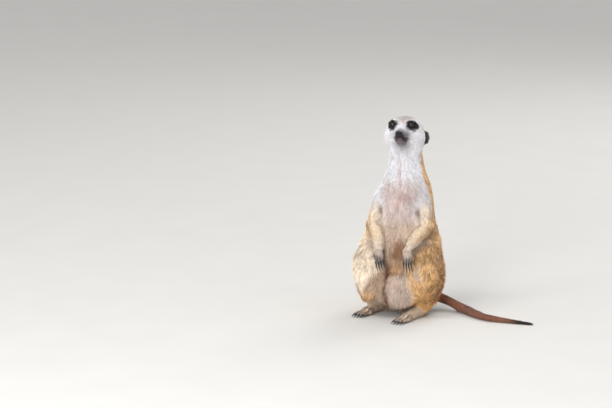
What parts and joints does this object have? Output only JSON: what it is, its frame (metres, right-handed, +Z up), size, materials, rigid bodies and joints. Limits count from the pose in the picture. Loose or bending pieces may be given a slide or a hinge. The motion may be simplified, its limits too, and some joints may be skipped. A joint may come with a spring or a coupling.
{
  "type": "meerkat",
  "caption": "Life-size still meerkat sitting upright on its rump, with its hands hanging before the belly, feet forward and tail laid beside it.",
  "frame": {"origin": "on the ground, in the middle of the flat under the rump", "axes": "the animal faces -Y, its left side is at +X, and +Z is up"},
  "size_m": [0.2271, 0.1264, 0.2444],
  "materials": {
    "fur_white": "short pale grey-white fur of the face, throat and neck",
    "fur_cream": "thin cream fur of the chest, belly, arms, hands and feet",
    "fur_tan": "longer golden-tan fur with dark streaks and bands",
    "fur_russet": "short reddish-brown fur of the tail",
    "fur_black": "near-black fur of the tail's tip and the eye patches",
    "ear_skin": "dark grey, thinly haired ear",
    "nose_pad": "moist pebbled skin",
    "eye": "wet dark-brown eye",
    "claw": "satin grey-black horn"
  },
  "bodies": {
    "root": {"abdomen": "fur_tan", "chest": "fur_cream", "ear_left": "ear_skin", "ear_right": "ear_skin", "eye_left": "eye", "eye_right": "eye", "foot_left": "fur_cream", "foot_right": "fur_cream", "fore_claw_left_1": "claw", "fore_claw_left_2": "claw", "fore_claw_left_3": "claw", "fore_claw_left_4": "claw", "fore_claw_right_1": "claw", "fore_claw_right_2": "claw", "fore_claw_right_3": "claw", "fore_claw_right_4": "claw", "forearm_left": "fur_cream", "forearm_right": "fur_cream", "hand_left": "fur_cream", "hand_right": "fur_cream", "head": "fur_white", "hind_claw_left_1": "claw", "hind_claw_left_2": "claw", "hind_claw_left_3": "claw", "hind_claw_left_4": "claw", "hind_claw_right_1": "claw", "hind_claw_right_2": "claw", "hind_claw_right_3": "claw", "hind_claw_right_4": "claw", "neck": "fur_white", "nose": "nose_pad", "shank_left": "fur_tan", "shank_right": "fur_tan", "tail_base": "fur_russet", "tail_middle": "fur_russet", "tail_tip": "fur_black", "thigh_left": "fur_tan", "thigh_right": "fur_tan", "upper_arm_left": "fur_cream", "upper_arm_right": "fur_cream"}
  },
  "joints": []
}
